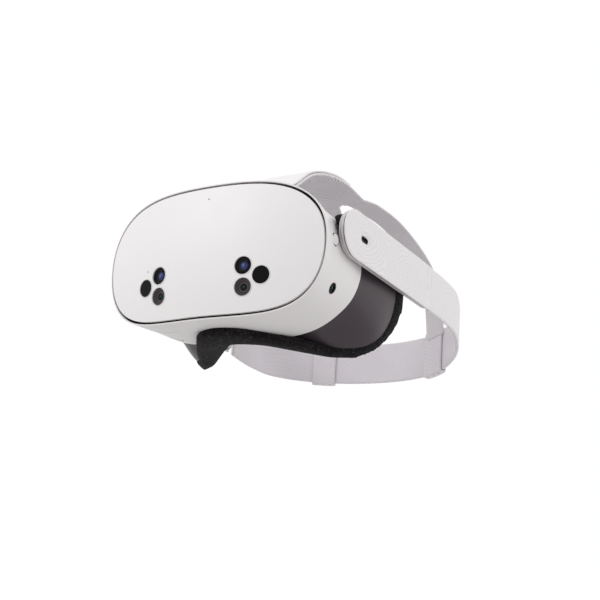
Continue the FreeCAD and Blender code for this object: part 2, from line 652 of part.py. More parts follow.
base_t, house_t, cover_t = val("baseThick"), val("housingThick"), val("coverThick")
inner_x = val("armInnerX")
port_gap = 0.15
port_half_w = val("portWidth") / 2 + port_gap
port_half_h = val("portHeight") / 2 + port_gap
port_dy = val("portY") - pivot_y
SPEAKER = (96.0, 122.0, -8.0, 8.0)


def arm_rotation(side):
    return FreeCAD.Rotation(V(1, 0, 0), -val("rightDroop") if side == -1 else 0.0)


def arm_place(obj, side, start, thick):
    """Put a layer at its depth, turned with its arm about the pivot."""
    x = inner_x + start if side == 1 else -(inner_x + start + thick)
    place(obj, V(x, pivot_y, pivot_z), arm_rotation(side))


def arm_layer(label, side, start, thick, inset, cuts=()):
    name = "%s_%s" % (label, SIDE_NAME[side])
    body, _, _ = sketch_body(name, "YZ_Plane", arm_sketch(inset), thick[0], V(0, 0, 0))
    for i, (draw, depth, offset) in enumerate(cuts):
        pocket(body, "%s_cut_%d" % (name, i), "YZ_Plane", draw, depth, offset)
    arm_place(body, side, start, thick[1])
    return keep(body, name)


port_slot = rect_sketch(port_dy - port_half_w, port_dy + port_half_w, -port_half_h, port_half_h)
for side in (1, -1):
    thick_base = ("Dimensions.baseThick", base_t)
    thick_house = ("Dimensions.housingThick", house_t)
    thick_cover = ("Dimensions.coverThick", cover_t)
    port_cuts = [(port_slot, "10 mm", 0.0)] if side == 1 else []
    arm_layer("arm_base", side, 0.0, thick_base, 1.2)
    speaker_cut = [(rect_sketch(*SPEAKER), "10 mm", 0.0)]
    arm_layer("arm_housing", side, base_t, thick_house, 0.6, speaker_cut + port_cuts)
    arm_layer("arm_cover", side, base_t + house_t, thick_cover, 0.0, port_cuts)
    y0, y1, z0, z1 = SPEAKER
    speaker = Part.makeBox(house_t - 0.4, y1 - y0 - 0.6, z1 - z0 - 0.6,
                           V(0.2, y0 + 0.3, z0 + 0.3))
    cone = Part.makeCone(6.0, 3.0, 1.0, V(0.2, (y0 + y1) / 2, 0), V(1, 0, 0))
    driver = doc.addObject("Part::Feature", "speaker")
    driver.Shape = speaker.cut(cone)
    arm_place(driver, side, base_t, house_t)
    keep(driver, "speaker_" + SIDE_NAME[side])

    start = V(inner_x, pivot_y, pivot_z)
    shank = cyl(val("pivotRadius"), 11.8, start, V(-1, 0, 0))
    flange = cyl(val("pivotRadius") + 1.4, 1.8, start - V(10.0, 0, 0), V(-1, 0, 0))
    hub = cyl(val("armHalfHeight") - 2.5, 7.0, start, V(-1, 0, 0)).cut(tube_loft(SHELL, -1.6))
    pin = union([shank, flange, hub])
    feature("pivot_hub_" + SIDE_NAME[side], pin if side == 1 else mirrored(pin))

# charging socket: a short metal sleeve with its tongue, opening outwards
sleeve_h, sleeve_w = val("portHeight") / 2, val("portWidth") / 2
port_x = inner_x + base_t


def port_prism(half_w, half_h, x0, x1):
    """Round-ended bar along Y, extruded along X at the socket."""
    half = half_w - half_h
    y, z = val("portY"), pivot_z
    solids = [box(x0, x1, y - half, y + half, z - half_h, z + half_h)]
    for s in (1, -1):
        solids.append(cyl(half_h, x1 - x0, V(x0, y + s * half, z), V(1, 0, 0)))
    return union(solids).removeSplitter()


sleeve = port_prism(sleeve_w, sleeve_h, port_x, port_x + 3.7)
sleeve = sleeve.cut(port_prism(sleeve_w - val("portWall"), sleeve_h - val("portWall"),
                               port_x + 0.4, port_x + 4))
feature("charging_socket", sleeve)
feature("socket_tongue", box(port_x + 0.4, port_x + 3.2, val("portY") - 3.1, val("portY") + 3.1,
                             pivot_z - 0.35, pivot_z + 0.35))

# --------------------------------------------------------------- back strap
# plan of the outer surface, from the centre of the back to the end of the arm
PLAN = [(0, 303.6), (30, 300.8), (57, 292.6), (76, 281.5), (88, 268.5), (94.6, 250.0),
        (95.6, 225.0), (95.6, 190.6)]
LEFT_RAIL = [(180, 2.4), (190, 2.2), (215, 1.6), (238, -0.5), (252, -4.5), (266, -10.5),
              (280, -17), (292, -22.5), (303.6, -25), (310, -25.5)]
RIGHT_RAIL = [(180, -19.5), (190, -21.2), (215, -24.0), (238, -24.5), (252, -24.5),
             (266, -24.0), (280, -24.0), (292, -24.5), (303.6, -25), (310, -25.5)]


def plan_points(outset):
    """Plan curve moved outwards along its normal."""
    curve = Part.BSplineCurve()
    curve.interpolate([V(x, y, 0) for x, y in PLAN])
    points = []
    steps = 24
    for i in range(steps + 1):
        u = curve.FirstParameter + (curve.LastParameter - curve.FirstParameter) * i / steps
        tangent = curve.tangent(u)[0]
        normal = V(-tangent.y, tangent.x, 0)
        if normal.y < 0 and i == 0:
            normal = -normal
        if normal.x < 0:
            normal = -normal
        points.append(curve.value(u) + normal * outset)
    points[0].x = 0.0
    return points


def plan_band(inner, outer, z0=-80.0, z1=80.0):
    """Vertical band between two distances from the strap's outer surface."""
    near = plan_points(inner)
    far = plan_points(outer)
    edges = []
    for points in (near, far):
        curve = Part.BSplineCurve()
        curve.interpolate([V(p.x, p.y, z0) for p in points])
        edges.append(curve.toShape())
    for i in (0, -1):
        a, b = near[i], far[i]
        edges.append(Part.LineSegment(V(a.x, a.y, z0), V(b.x, b.y, z0)).toShape())
    wire = Part.Wire(Part.__sortEdges__(edges))
    return Part.Face(wire).extrude(V(0, 0, z1 - z0))


def height_zone(rail, grow):
    """Everything between the strap's lower and upper edge, seen from the side."""
    low = [V(-5, y, z - grow) for y, z in rail]
    high = [V(-5, y, z + val("strapWidth") + grow) for y, z in rail]
    curves = []
    for points in (low, high):
        curve = Part.BSplineCurve()
        curve.interpolate(points)
        curves.append(curve.toShape())
    ends = [Part.LineSegment(low[i], high[i]).toShape() for i in (0, -1)]
    wire = Part.Wire(Part.__sortEdges__(curves + ends))
    return Part.Face(wire).extrude(V(130, 0, 0))


def strap_half(side, inner, outer, grow):
    """One half of the closed strap; the other side's rail differs."""
    band = plan_band(inner, outer)
    zone = height_zone(LEFT_RAIL if side == 1 else RIGHT_RAIL, grow)
    half = band.common(zone)
    return half if side == 1 else mirrored(half)


thick = val("strapThick")
split_y = 262.0
for side in (1, -1):
    half = strap_half(side, -thick, 0.0, 0.0)
    feature("side_strap_" + SIDE_NAME[side], half.common(box(-200, 200, 100, split_y, -90, 90)))
backs = [strap_half(side, -thick, 0.0, 0.0).common(box(-200, 200, split_y + 0.02, 400, -90, 90))
         for side in (1, -1)]
feature("back_strap", backs[0].fuse(backs[1]).removeSplitter())

loop_gap = 0.5
loop_wall = val("loopWall")
for side in (1, -1):
    low, high = sorted((side * (val("loopX") - val("loopWidth") / 2),
                        side * (val("loopX") + val("loopWidth") / 2)))
    window = box(low, high, 100, 400, -90, 90)
    grow = loop_gap + loop_wall
    ring = strap_half(side, -thick - grow, grow, grow)
    ring = ring.cut(strap_half(side, -thick - loop_gap, loop_gap, loop_gap)).common(window)
    feature("strap_loop_" + SIDE_NAME[side], sorted(ring.Solids, key=lambda s: s.Volume)[-1])

# ---------------------------------------------------------------- top straps
TOP_PATH = [(49, 52.75), (60, 52.75), (68, 58.5), (79, 70.5), (93, 84), (112, 100), (128, 108),
            (145, 113.2), (162, 115.6), (180, 115.2), (204, 112.0)]


def ribbon(sections):
    """Solid through quadrilateral sections, each given by its four corners."""
    wires = []
    for corners in sections:
        wires.append(Part.makePolygon(list(corners) + [corners[0]]))
    return Part.makeLoft(wires, True, True)


def path_sections(path, half_width, low, high):
    """Sections square to a path in the middle plane, from low to high off it."""
    sections = []
    for i, (y, z) in enumerate(path):
        before = path[max(i - 1, 0)]
        after = path[min(i + 1, len(path) - 1)]
        along = V(0, after[0] - before[0], after[1] - before[1]).normalize()
        normal = V(0, -along.z, along.y)
        base, top = V(0, y, z) + normal * low, V(0, y, z) + normal * high
        side = V(half_width, 0, 0)
        sections.append((base - side, base + side, top + side, top - side))
    return sections


web = val("webThick")
feature("top_strap", ribbon(path_sections(TOP_PATH, val("topHalfWidth"), -web / 2, web / 2)))

TONGUE_PATH = [(50, 60.2), (58, 61.8), (66, 66.0), (78, 76.0)] + TOP_PATH[4:10]
tongue_sections = path_sections(TONGUE_PATH[:4], val("topHalfWidth") - 0.4, -0.9, 0.9)
tongue_sections += path_sections(TONGUE_PATH[3:], val("topHalfWidth") - 0.4,
                                 web / 2 + 0.4, web / 2 + 2.2)[1:]
feature("top_strap_tongue", ribbon(tongue_sections))

# inner and outer edge of the wearer's left branch of the forked strap
BRANCH = [((0.4, 204.6, 112.0), (21.9, 204.6, 112.0)), ((9, 220, 108.5), (32, 216, 106.5)),
          ((20, 238, 101.5), (43, 231, 96.0)), ((30, 254, 89.5), (52.5, 247, 84.0)),
          ((38, 268, 74.5), (60, 262, 70.0)), ((43.5, 279.5, 58.5), (64.5, 272.5, 55.5)),
          ((46.5, 286.6, 42.5), (66.6, 278.4, 41.5)), ((47.2, 290.0, 18.6), (66.8, 281.6, 23.4))]


def branch_sections(edges):
    sections = []
    for i, (inner, outer) in enumerate(edges):
        a = [V(*edges[j][k]) for j in (max(i - 1, 0), min(i + 1, len(edges) - 1)) for k in (0, 1)]
        along = ((a[2] + a[3]) - (a[0] + a[1])).normalize()
        inner, outer = V(*inner), V(*outer)
        normal = (outer - inner).cross(along).normalize() * (web / 2)
        sections.append((inner - normal, outer - normal, outer + normal, inner + normal))
    return sections


branch = ribbon(branch_sections(BRANCH))
feature("strap_branch_left", branch)
feature("strap_branch_right", mirrored(branch))

lugs = [box(24.6, 27.6, 52, 60, 44, 58.2), box(-27.6, -24.6, 52, 60, 44, 58.2)]
bracket = union([lug.cut(shell_outer) for lug in lugs]
                + [cyl(1.3, 50.0, V(-25, 56, 56.4), V(1, 0, 0))])
feature("strap_bracket", bracket)

# --------------------------------------------------------------------- output
doc.recompute()
os.makedirs("parts", exist_ok=True)
whole = FreeCAD.BoundBox()
for obj in doc.Objects:
    if "Invalid" in obj.State or "Error" in obj.State:
        raise RuntimeError("%s failed: %s" % (obj.Label, obj.State))
bad = [obj.Label for obj in NODES
       if obj.Shape.isNull() or not obj.Shape.isValid() or not obj.Shape.Solids]
if bad:
    raise RuntimeError("bad shapes: " + ", ".join(bad))
for obj in NODES:
    whole.add(obj.Shape.optimalBoundingBox())
for obj in NODES:
    obj.Shape.exportStep("parts/%s.step" % obj.Label)
    print("%-28s solids %d  volume %10.1f" % (obj.Label, len(obj.Shape.Solids),
                                             obj.Shape.Volume))
print("nodes", len(NODES), "box", whole)
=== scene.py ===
"""VR headset: finishes, fabric pieces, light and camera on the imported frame."""

import math

import bmesh
import bpy
from mathutils import Matrix, Vector


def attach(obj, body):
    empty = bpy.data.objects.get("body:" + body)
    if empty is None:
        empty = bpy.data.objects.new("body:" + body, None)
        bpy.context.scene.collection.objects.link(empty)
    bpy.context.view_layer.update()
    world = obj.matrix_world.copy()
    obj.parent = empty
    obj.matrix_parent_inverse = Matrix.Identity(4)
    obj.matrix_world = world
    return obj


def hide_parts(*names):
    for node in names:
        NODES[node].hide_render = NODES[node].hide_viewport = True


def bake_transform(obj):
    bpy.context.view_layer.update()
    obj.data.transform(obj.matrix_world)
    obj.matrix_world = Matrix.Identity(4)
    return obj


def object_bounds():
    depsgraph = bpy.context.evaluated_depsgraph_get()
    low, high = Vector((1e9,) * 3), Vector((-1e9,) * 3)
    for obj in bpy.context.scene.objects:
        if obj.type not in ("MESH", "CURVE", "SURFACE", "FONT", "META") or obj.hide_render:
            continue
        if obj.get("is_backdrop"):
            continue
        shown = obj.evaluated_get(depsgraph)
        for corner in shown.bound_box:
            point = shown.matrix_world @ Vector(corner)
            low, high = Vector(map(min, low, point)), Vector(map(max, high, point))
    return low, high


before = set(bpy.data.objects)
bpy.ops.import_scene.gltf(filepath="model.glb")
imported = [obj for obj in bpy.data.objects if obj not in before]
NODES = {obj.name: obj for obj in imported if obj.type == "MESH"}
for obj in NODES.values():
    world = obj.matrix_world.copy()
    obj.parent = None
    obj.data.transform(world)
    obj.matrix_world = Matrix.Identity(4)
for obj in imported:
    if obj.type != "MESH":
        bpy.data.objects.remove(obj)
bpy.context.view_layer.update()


MM = 0.001
FASCIA_Y, BASE_Z = 151.75, 56.6        # from the fascia's front to the frame's origin


def P(x, y, z):
    """Millimetres from the middle of the fascia's front, as a point of the frame."""
    return Vector((x * MM, (y - FASCIA_Y) * MM, (z + BASE_Z) * MM))


# ------------------------------------------------------------------ curves
def spline(points, count):
    """Evenly spaced points on a smooth curve through the given ones."""
    pts = [Vector(p) for p in points]
    dense = []
    for i in range(len(pts) - 1):
        p0, p1, p2 = pts[max(i - 1, 0)], pts[i], pts[i + 1]
        p3 = pts[min(i + 2, len(pts) - 1)]
        d1 = math.sqrt(max((p2 - p1).length, 1e-9))
        d0 = math.sqrt(max((p1 - p0).length, 1e-9)) if i else d1
        d2 = math.sqrt(max((p3 - p2).length, 1e-9)) if i + 2 < len(pts) else d1
        m1 = (p2 - p1) if not i else ((p1 - p0) / d0 - (p2 - p0) / (d0 + d1) + (p2 - p1) / d1) * d1
        m2 = (p2 - p1) if i + 2 >= len(pts) else \
            ((p2 - p1) / d1 - (p3 - p1) / (d1 + d2) + (p3 - p2) / d2) * d1
        for k in range(24):
            t = k / 24
            dense.append((2 * t ** 3 - 3 * t ** 2 + 1) * p1 + (t ** 3 - 2 * t ** 2 + t) * m1
                         + (3 * t ** 2 - 2 * t ** 3) * p2 + (t ** 3 - t ** 2) * m2)
    dense.append(pts[-1])
    run = [0.0]
    for a, b in zip(dense, dense[1:]):
        run.append(run[-1] + (b - a).length)
    out, j = [], 0
    for i in range(count):
        want = run[-1] * i / (count - 1)
        while j < len(run) - 2 and run[j + 1] < want:
            j += 1
        t = (want - run[j]) / max(run[j + 1] - run[j], 1e-12)
        out.append(dense[j].lerp(dense[j + 1], min(max(t, 0), 1)))
    return out


def along(table, x):
    """Smooth value at x of a table of (x, value)."""
    for (x0, a), (x1, b) in zip(table, table[1:]):
        if x <= x1:
            break
    t = min(max((x - x0) / (x1 - x0), 0), 1)
    i = table.index((x0, a))
    before = table[max(i - 1, 0)]
    after = table[min(i + 2, len(table) - 1)]
    m0 = (b - before[1]) / (x1 - before[0]) * (x1 - x0)
    m1 = (after[1] - a) / (after[0] - x0) * (x1 - x0)
    return (2 * t ** 3 - 3 * t ** 2 + 1) * a + (t ** 3 - 2 * t ** 2 + t) * m0 \
        + (3 * t ** 2 - 2 * t ** 3) * b + (t ** 3 - t ** 2) * m1


def tidy(mesh, merge=None):
    """Faces turned outwards, after joining points closer than merge."""
    bm = bmesh.new()
    bm.from_mesh(mesh)
    if merge:
        bmesh.ops.remove_doubles(bm, verts=bm.verts, dist=merge)
    bmesh.ops.recalc_face_normals(bm, faces=bm.faces)
    bm.to_mesh(mesh)
    bm.free()


def quads(rows, n):
    """Faces between neighbouring rings of n points each."""
    return [(i * n + j, i * n + (j + 1) % n, (i + 1) * n + (j + 1) % n, (i + 1) * n + j)
            for i in range(rows - 1) for j in range(n)]


def caps(rows, n):
    """Faces that close the first and the last ring."""
    return [tuple(range(n)), tuple((rows - 1) * n + j for j in reversed(range(n)))]


def new_mesh(name, verts, faces, uvs=None, slots=None, materials=()):
    """Object from points, faces, one UV a point and one material index a face."""
    mesh = bpy.data.meshes.new(name)
    mesh.from_pydata([tuple(v) for v in verts], [], faces)
    for m in materials:
        mesh.materials.append(m)
    if slots:
        mesh.polygons.foreach_set("material_index", slots)
    if uvs:
        layer = mesh.uv_layers.new(name="weave")
        for loop in mesh.loops:
            layer.data[loop.index].uv = uvs[loop.vertex_index]
    for poly in mesh.polygons:
        poly.use_smooth = True
    mesh.update()
    tidy(mesh)
    obj = bpy.data.objects.new(name, mesh)
    bpy.context.scene.collection.objects.link(obj)
    return obj


def bake(obj):
    """Apply every modifier."""
    bpy.context.view_layer.update()
    graph = bpy.context.evaluated_depsgraph_get()
    mesh = bpy.data.meshes.new_from_object(obj.evaluated_get(graph), depsgraph=graph)
    obj.modifiers.clear()
    obj.data = mesh
    return obj


# --------------------------------------------------------------- materials
OPTIC_RADIUS = 7.0 * MM


def rgb(r, g, b):
    """Linear colour from 0 to 255 screen values."""
    return tuple(c / 3294.6 if c <= 10.3 else ((c / 255 + 0.055) / 1.055) ** 2.4
                 for c in (r, g, b)) + (1.0,)


class Net:
    """Shorthand for a node material round one Principled shader."""

    def __init__(self, name, uv=False, **sockets):
        self.material = bpy.data.materials.new(name)
        self.material.use_nodes = True
        self.tree = self.material.node_tree
        self.shader = self.tree.nodes["Principled BSDF"]
        for key, value in sockets.items():
            self.shader.inputs[key.replace("_", " ")].default_value = value
        if uv:
            place = self.tree.nodes.new("ShaderNodeUVMap")
            place.uv_map = "weave"
            self.place = place.outputs["UV"]
        else:
            self.place = self.tree.nodes.new("ShaderNodeTexCoord").outputs["Object"]

    def put(self, socket, value):
        if isinstance(value, bpy.types.NodeSocket):
            self.tree.links.new(value, socket)
        elif value is not None:
            socket.default_value = value

    def noise(self, scale, detail=2.0, rough=0.5, at=None, distortion=0.0):
        n = self.tree.nodes.new("ShaderNodeTexNoise")
        self.put(n.inputs["Vector"], at or self.place)
        n.inputs["Scale"].default_value = scale
        n.inputs["Detail"].default_value = detail
        n.inputs["Roughness"].default_value = rough
        n.inputs["Distortion"].default_value = distortion
        return n.outputs["Fac"]

    def cells(self, scale, randomness):
        n = self.tree.nodes.new("ShaderNodeTexVoronoi")
        self.put(n.inputs["Vector"], self.place)
        n.inputs["Scale"].default_value = scale
        n.inputs["Randomness"].default_value = randomness
        return n.outputs["Distance"]

    def math(self, kind, a, b=None, c=None):
        n = self.tree.nodes.new("ShaderNodeMath")
        n.operation = kind
        for socket, value in zip(n.inputs, (a, b, c)):
            self.put(socket, value)
        return n.outputs[0]

    def vector(self, kind, a, b=None):
        n = self.tree.nodes.new("ShaderNodeVectorMath")
        n.operation = kind
        self.put(n.inputs[0], a)
        self.put(n.inputs[1], b)
        return n.outputs["Value" if kind in ("LENGTH", "DISTANCE", "DOT_PRODUCT") else "Vector"]

    def ramp(self, value, stops):
        n = self.tree.nodes.new("ShaderNodeValToRGB")
        self.put(n.inputs[0], value)
        elements = n.color_ramp.elements
        while len(elements) < len(stops):
            elements.new(0.5)
        for element, (at, colour) in zip(elements, stops):
            element.position = at
            element.color = colour if hasattr(colour, "__len__") else (colour,) * 3 + (1,)
        return n.outputs["Color"]

    def mix(self, factor, a, b):
        n = self.tree.nodes.new("ShaderNodeMix")
        n.data_type = "RGBA"
        self.put(n.inputs[0], factor)
        self.put(n.inputs[6], a)
        self.put(n.inputs[7], b)
        return n.outputs[2]

    def bump(self, height, depth, strength=1.0, under=None):
        n = self.tree.nodes.new("ShaderNodeBump")
        n.inputs["Strength"].default_value = strength
        n.inputs["Distance"].default_value = depth
        self.put(n.inputs["Height"], height)
        self.put(n.inputs["Normal"], under)
        return n.outputs["Normal"]

    def axes(self):
        n = self.tree.nodes.new("ShaderNodeSeparateXYZ")
        self.put(n.inputs[0], self.place)
        return n.outputs

    def finish(self, colour=None, rough=None, normal=None):
        self.put(self.shader.inputs["Base Color"], colour)
        self.put(self.shader.inputs["Roughness"], rough)
        self.put(self.shader.inputs["Normal"], normal)
        return self.material


def moulded(name, light, dark, rough, grain=0.00003, coarse=900.0, **sockets):
    """Satin moulded plastic: fine spark-erosion grain, faint clouding, rubbed patches."""
    net = Net(name, **sockets)
    cloud = net.noise(9.0, 3.0)
    speck = net.noise(coarse, 2.0, 0.6)
    shade = net.math("MULTIPLY_ADD", cloud, 0.7, net.math("MULTIPLY", speck, 0.3))
    colour = net.ramp(shade, [(0.3, dark), (0.7, light)])
    rubbed = net.noise(38.0, 4.0, 0.6)
    roughness = net.ramp(rubbed, [(0.25, rough - 0.05), (0.75, rough + 0.06)])
    normal = net.bump(speck, grain, 0.7, net.bump(cloud, 0.0002, 0.15))
    return net.finish(colour, roughness, normal)


def metal(name, light, dark, rough, brushed):
    """Ground metal, its grain drawn out across the axis that brushed scales up."""
    net = Net(name, Metallic=1.0)
    stretched = net.vector("MULTIPLY", net.place, brushed)
    grain = net.noise(500.0, 3.0, 0.6, stretched)
    colour = net.ramp(grain, [(0.3, dark), (0.7, light)])
    roughness = net.ramp(net.noise(60.0, 3.0), [(0.3, rough - 0.08), (0.7, rough + 0.1)])
    return net.finish(colour, roughness, net.bump(grain, 0.00004, 0.6))


def off_axis(net, centre, axis):
    """Distance of each point from a line through centre, in metres."""
    offset = net.vector("SUBTRACT", net.place, tuple(centre))
    return net.vector("LENGTH", net.vector("CROSS_PRODUCT", offset, tuple(axis)))


def optic(name, centre, axis, stops):
    """Round glass-fronted module, coloured by how far each point is from its axis."""
    net = Net(name, Coat_Weight=0.12, Coat_Roughness=0.05, IOR=1.45, Specular_IOR_Level=0.12)
    radius = net.math("MULTIPLY", off_axis(net, centre, axis), 1 / OPTIC_RADIUS)
    dust = net.noise(700.0, 2.0)
    wobble = net.math("MULTIPLY_ADD", dust, 0.012, radius)
    colour = net.ramp(wobble, stops)
    roughness = net.ramp(dust, [(0.3, 0.1), (0.8, 0.15)])
    return net.finish(colour, roughness, net.bump(dust, 0.000004, 0.4))


def contours(net, period, centres, wander):
    """Wandering contour lines round a few centres, 0 in the groove and 1 on the rib."""
    drift = net.noise(22.0, 2.0, 0.45)
    nearest = None
    for centre in centres:
        far = net.vector("DISTANCE", net.place, centre)
        nearest = far if nearest is None else net.math("SMOOTH_MIN", nearest, far, 0.012)
    phase = net.math("MULTIPLY_ADD", drift, wander, nearest)
    wave = net.math("SINE", net.math("MULTIPLY", phase, 2 * math.pi / period))
    return net.math("MULTIPLY_ADD", wave, 0.5, 0.5)


def dots(net, period):
    """Diagonal knit: small raised stitches on two crossing diagonals."""
    x, y, _ = net.axes()
    a = net.math("SINE", net.math("MULTIPLY", net.math("ADD", x, y), 2 * math.pi / period))
    b = net.math("SINE", net.math("MULTIPLY", net.math("SUBTRACT", x, y),
                                  1.3 * math.pi / period))
    return net.math("MULTIPLY_ADD", net.math("MULTIPLY", a, b), 0.5, 0.5)


STITCH = 2.1 * MM
CROWN = (0.003, 0.118, 0.0)            # centre of the arcs, on the strap's own UV


def crown_rings(net):
    """Arcs round the crown of the top strap that give way to plain knit on its branches."""
    rings = contours(net, 2.8 * MM, [CROWN], 4 * MM)
    far = net.vector("DISTANCE", net.place, CROWN)
    away = net.math("MULTIPLY_ADD", far, 60.0, -2.6)
    net.tree.nodes[-1].use_clamp = True
    knit = net.math("MULTIPLY", dots(net, STITCH), away)
    keep = net.math("SUBTRACT", 1.0, away)
    return net.math("MULTIPLY_ADD", rings, keep, knit)


def cloth(name, light, dark, pattern, sheen=0.25):
    """Knitted or woven cloth: the pattern over fine yarn."""
    net = Net(name, uv=True, Sheen_Weight=sheen, Sheen_Roughness=0.5)
    height = pattern(net)
    yarn = net.noise(1500.0, 3.0, 0.65)
    tone = net.noise(35.0, 3.0)
    shade = net.math("MULTIPLY_ADD", height, 0.5,
                     net.math("MULTIPLY_ADD", yarn, 0.3, net.math("MULTIPLY", tone, 0.2)))
    colour = net.ramp(shade, [(0.22, dark), (0.72, light)])
    rough = net.ramp(yarn, [(0.3, 0.78), (0.7, 0.95)])
    normal = net.bump(height, 0.00022, 0.55, net.bump(yarn, 0.00016, 0.5))
    return net.finish(colour, rough, normal)


WHITE = moulded("white_shell", rgb(232, 229, 229), rgb(228, 225, 225), 0.42)
FASCIA = moulded("fascia_white", rgb(237, 235, 235), rgb(234, 232, 232), 0.46, 0.00004, 1300.0)
GREY = moulded("grey_plastic", rgb(206, 202, 203), rgb(198, 194, 195), 0.4)
# Black seal material; on the arm's seam lines and on the pivot hubs it is painted shade of the
# gaps
SEAL_AND_GAP_SHADE = moulded("black_seal", rgb(12, 12, 13), rgb(6, 6, 7), 0.7, Specular_IOR_Level=0.1)
RIM = moulded("camera_rim", rgb(232, 231, 231), rgb(214, 213, 214), 0.25, 0.00001)
GUIDE = moulded("indicator", rgb(176, 170, 168), rgb(140, 134, 132), 0.3)
DARK_DOT = moulded("sensor_dot", rgb(46, 42, 46), rgb(24, 22, 25), 0.25)
BOARD = moulded("board_green", rgb(44, 92, 66), rgb(26, 60, 42), 0.45, 0.00008, 400.0)
SINK = metal("sink_metal", rgb(206, 206, 210), rgb(170, 170, 176), 0.38, (1, 1, 12))
# the socket's steel is darkened, as painted shade inside the charging port's recess
SHADED_PORT = metal("port_steel_painted_shade", rgb(84, 84, 88), rgb(46, 46, 50), 0.4, (1, 14, 1))
STEEL = metal("ground_steel", rgb(196, 196, 200), rgb(150, 150, 156), 0.3, (14, 1, 1))
CELL = moulded("cell_pouch", rgb(84, 84, 88), rgb(62, 62, 66), 0.35, 0.0001, 300.0)
INNER = moulded("inner_black", rgb(44, 43, 46), rgb(32, 31, 34), 0.55, 0.00005, 700.0)
CHARCOAL = moulded("charcoal", rgb(68, 60, 65), rgb(60, 53, 57), 0.34, 0.00003, 800.0,
                   Specular_IOR_Level=0.3)


def lens_glass():
    net = Net("lens_glass", Transmission_Weight=0.85, IOR=1.49, Coat_Weight=0.6,
              Coat_Roughness=0.02)
    dust = net.noise(420.0, 2.0)
    colour = net.ramp(dust, [(0.3, rgb(214, 222, 232)), (0.7, rgb(236, 240, 246))])
    return net.finish(colour, net.ramp(dust, [(0.3, 0.02), (0.8, 0.06)]),
                      net.bump(dust, 0.000002, 0.3))


def heather():
    """Black heather knit over foam."""
    net = Net("foam_knit", Sheen_Weight=0.04, Sheen_Roughness=0.5, Specular_IOR_Level=0.08)
    loops = net.cells(620.0, 0.55)
    yarn = net.noise(1700.0, 3.0, 0.7)
    fleck = net.noise(460.0, 2.0, 0.75, distortion=1.5)
    base = net.ramp(net.math("MULTIPLY_ADD", loops, 0.6, net.math("MULTIPLY", yarn, 0.4)),
                    [(0.25, rgb(34, 32, 34)), (0.75, rgb(9, 8, 9))])
    colour = net.mix(net.ramp(fleck, [(0.56, 0.0), (0.72, 0.55)]), base, rgb(96, 92, 96))
    normal = net.bump(loops, -0.0004, 0.8, net.bump(yarn, 0.0002, 0.6))
    return net.finish(colour, net.ramp(yarn, [(0.3, 0.85), (0.7, 0.98)]), normal)


GLASS = lens_glass()
FOAM = heather()
COVER = cloth("cover_cloth", rgb(238, 236, 237), rgb(230, 227, 229),
              lambda n: contours(n, 3 * MM, [(-0.047, -0.0045, 0.0), (-0.118, 0.012, 0.0),
                                             (0.035, 0.004, 0.0), (0.12, -0.006, 0.0)],
                                 22 * MM))
KNIT = cloth("grey_knit", rgb(240, 236, 240), rgb(204, 198, 204), lambda n: dots(n, STITCH))
RIBBED = cloth("ribbed_knit", rgb(236, 232, 235), rgb(196, 191, 195), crown_rings)
SMOOTH = cloth("smooth_cloth", rgb(240, 238, 239), rgb(232, 230, 231),
               lambda n: n.noise(600.0, 2.0), 0.15)


def paint(material, *names):
    for name in names:
        mesh = NODES[name].data
        if not mesh.materials:
            mesh.materials.append(material)
        for i in range(len(mesh.materials)):
            mesh.materials[i] = material


SIDES = (("left", 1), ("right", -1))
paint(FASCIA, "front_fascia")
paint(WHITE, "main_shell", "power_button", "action_button", "volume_rocker", "strap_bracket")
paint(GREY, "arm_base_left", "arm_base_right", "arm_housing_left", "arm_housing_right")
# the pivot hubs are painted black as painted shade in the gap between shell and arm
paint(SEAL_AND_GAP_SHADE, "gap_gasket", "microphones", "pivot_hub_left", "pivot_hub_right", "sync_wheel",
      "socket_tongue")
paint(RIM, "camera_rings")
paint(GUIDE, "status_led")
paint(DARK_DOT, "light_sensor", "power_led")
paint(BOARD, "main_board")
paint(SINK, "heat_sink")
paint(STEEL, "lens_rails", "bezel_screws", "sync_wheel_pin")
paint(SHADED_PORT, "charging_socket")
paint(CELL, "battery_pack", "display_panel_left", "display_panel_right")
paint(INNER, "fan_housing", "fan_rotor", "chassis", "optics_bezel", "lens_cup_left",
      "lens_cup_right", "speaker_left", "speaker_right")
paint(GLASS, "lens_left", "lens_right")
paint(CHARCOAL, "face_interface")


def button(name, centre, axis, reach):
    """White key with painted shade on its rim, where the gap round it begins."""
    net = Net("painted_rim_shade_" + name)
    away = off_axis(net, centre, axis)
    grain = net.noise(900.0, 2.0, 0.6)
    radius = net.math("MULTIPLY_ADD", grain, 0.01, net.math("MULTIPLY", away, 1 / reach))
    # the darker ring towards the rim is painted shade of the gap round the key
    colour = net.ramp(radius, [(0.84, rgb(226, 223, 223)), (0.93, rgb(150, 146, 147)),
                               (0.98, rgb(60, 58, 60))])
    rough = net.ramp(grain, [(0.3, 0.38), (0.7, 0.48)])
    paint(net.finish(colour, rough, net.bump(grain, 0.00003, 0.7)), name)


button("power_button", P(88, 36.6, 9.0), (1.0, 0.0, 0.0), 0.0046)
button("action_button", P(-53, 55, -50), (0.0, 0.0, 1.0), 0.0053)

